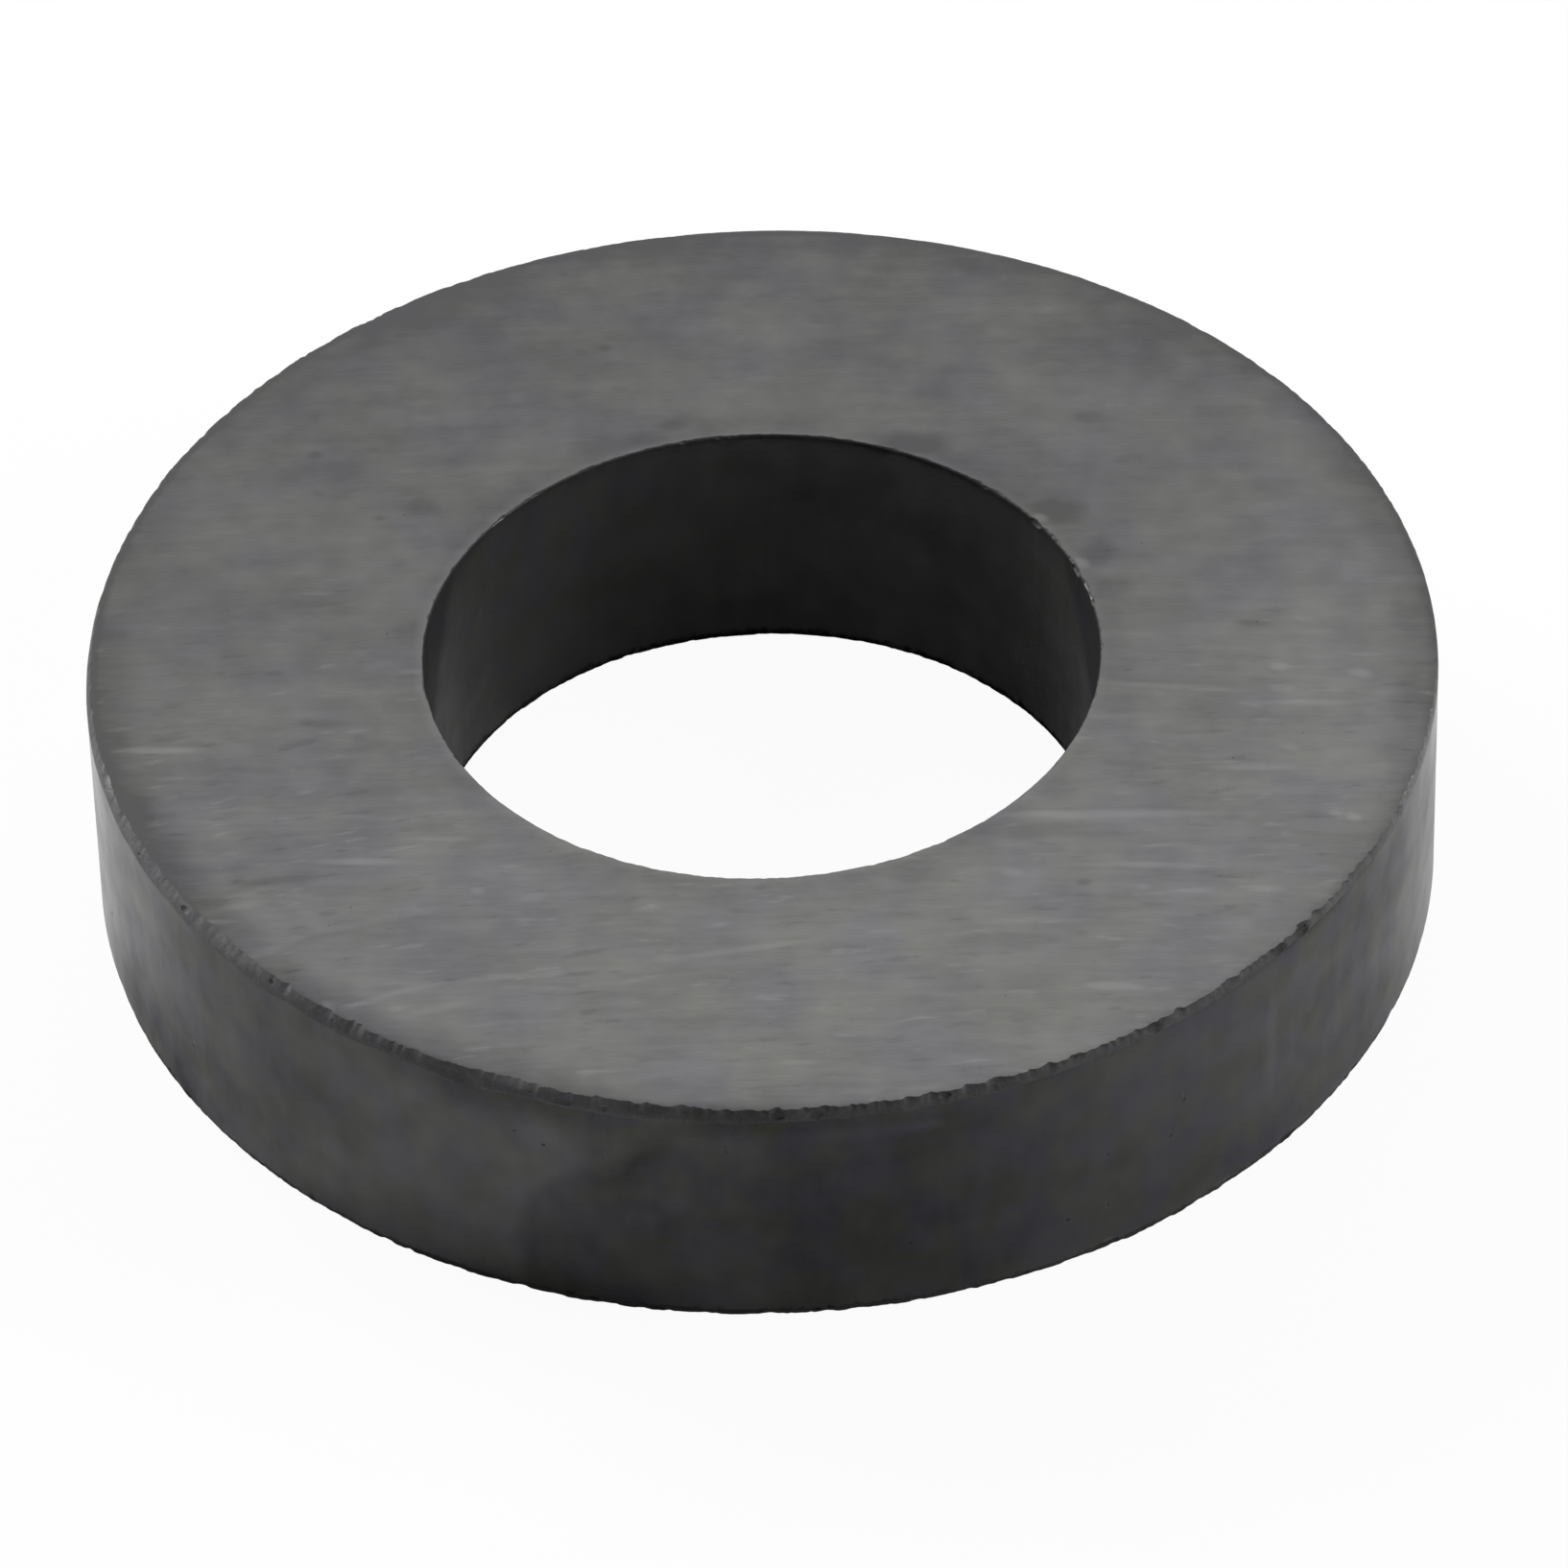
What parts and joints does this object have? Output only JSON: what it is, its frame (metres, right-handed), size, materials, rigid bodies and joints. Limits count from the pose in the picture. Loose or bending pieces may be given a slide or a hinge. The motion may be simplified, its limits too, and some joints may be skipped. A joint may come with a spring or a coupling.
{
  "type": "ferrite ring magnet",
  "caption": "Flat sintered ferrite ring magnet with ground pole faces, a plain through bore and worn, lightly chipped edges.",
  "frame": {"origin": "middle of the ring's underside, on its axis, on the surface that it lies on", "axes": "+Z along the ring's axis, up out of the upper pole face; -Y towards the picture's camera; X to the picture's right"},
  "size_m": [0.1, 0.1, 0.02],
  "materials": {
    "ferrite": "ground matt grey pole faces, darker satin as-fired outer wall and bore"
  },
  "bodies": {
    "root": {"ferrite_ring": "ferrite"}
  },
  "joints": []
}
